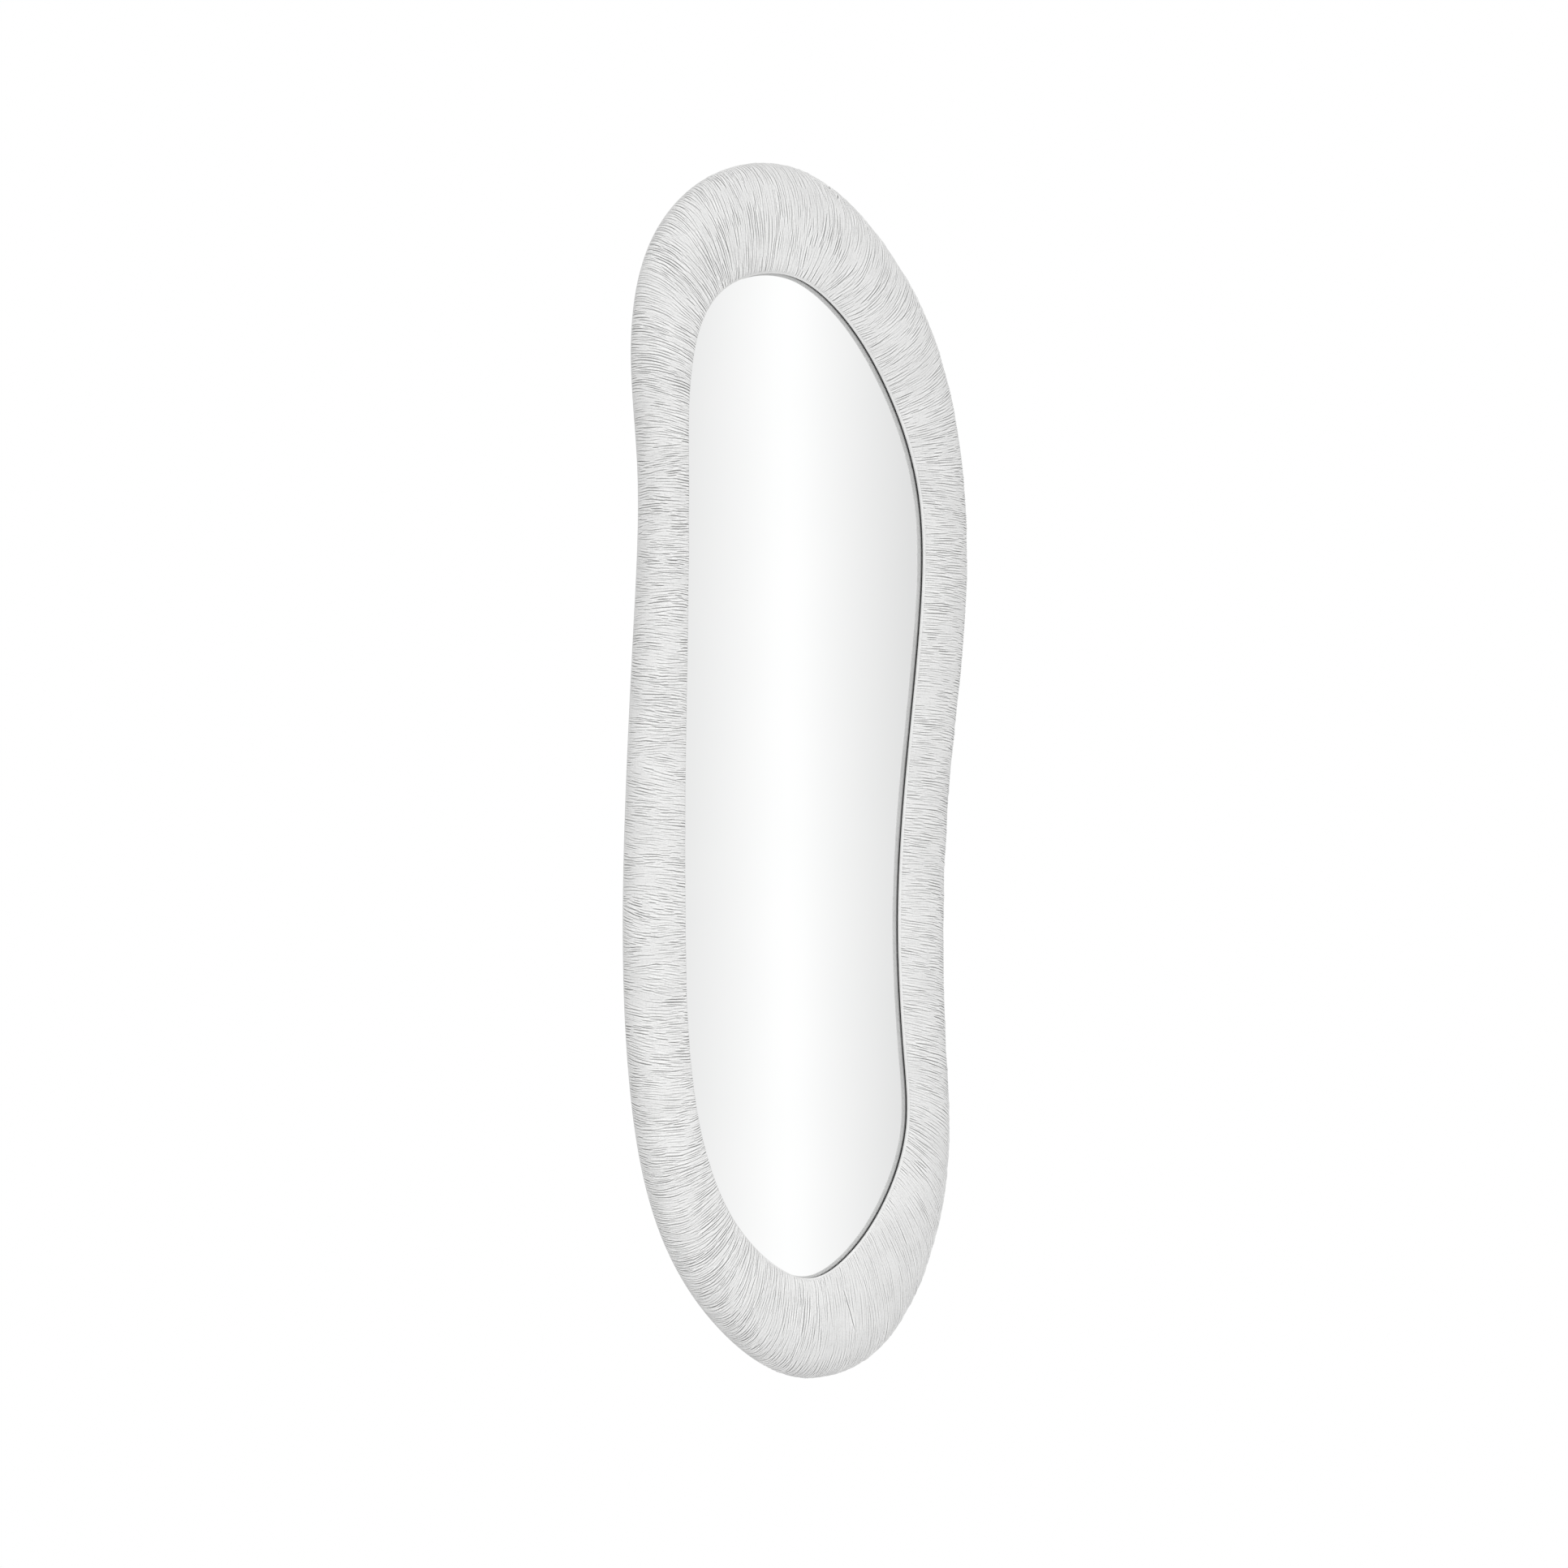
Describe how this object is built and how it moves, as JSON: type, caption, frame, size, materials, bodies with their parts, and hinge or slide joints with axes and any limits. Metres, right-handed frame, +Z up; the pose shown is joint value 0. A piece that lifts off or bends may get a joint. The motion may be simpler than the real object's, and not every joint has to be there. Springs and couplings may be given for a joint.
{
  "type": "full-length wall mirror",
  "caption": "Full-length mirror in a pebble-shaped rim of combed white plaster, hung on interlocking wall rails.",
  "frame": {"origin": "on the wall, midway between the wall rail's screw holes", "axes": "+Z up, +Y into the wall, -Y towards the viewer, +X to the viewer's right"},
  "size_m": [0.5973, 0.0633, 1.8068],
  "materials": {
    "combed_plaster": "matte combed plaster",
    "silvered_glass": "polished",
    "rail_aluminium": "mill finish",
    "black_foam": "closed-cell foam",
    "mastic": "cured",
    "fibreboard": "raw",
    "plywood": "sanded",
    "beech": "sanded",
    "hardboard": "smooth",
    "zinc_steel": "zinc plated",
    "bumper_rubber": "matte"
  },
  "bodies": {
    "wall_side": {"wall_rail": "rail_aluminium"},
    "mirror": {"frame_rail": "rail_aluminium", "frame_shell": "combed_plaster", "mirror_glass": "silvered_glass", "lip_gasket": "black_foam", "mastic_beads": "mastic", "glass_backer": "fibreboard", "pressure_foam": "black_foam", "subframe_top": "plywood", "subframe_upper_left": "plywood", "subframe_upper_right": "plywood", "subframe_lower_left": "plywood", "subframe_lower_right": "plywood", "subframe_bottom": "plywood", "crossbar_upper": "plywood", "crossbar_lower": "plywood", "subframe_dowels": "beech", "subframe_screws": "zinc_steel", "crossbar_screws": "zinc_steel", "back_panel": "hardboard", "back_panel_screws": "zinc_steel", "frame_rail_screws": "zinc_steel", "wall_bumpers": "bumper_rubber", "bumper_screws": "zinc_steel"}
  },
  "joints": [
    {"name": "lift_off", "type": "slide", "parent": "wall_side", "child": "mirror", "axis": [0, 0, 1], "range_m": [0, 0.02]}
  ]
}
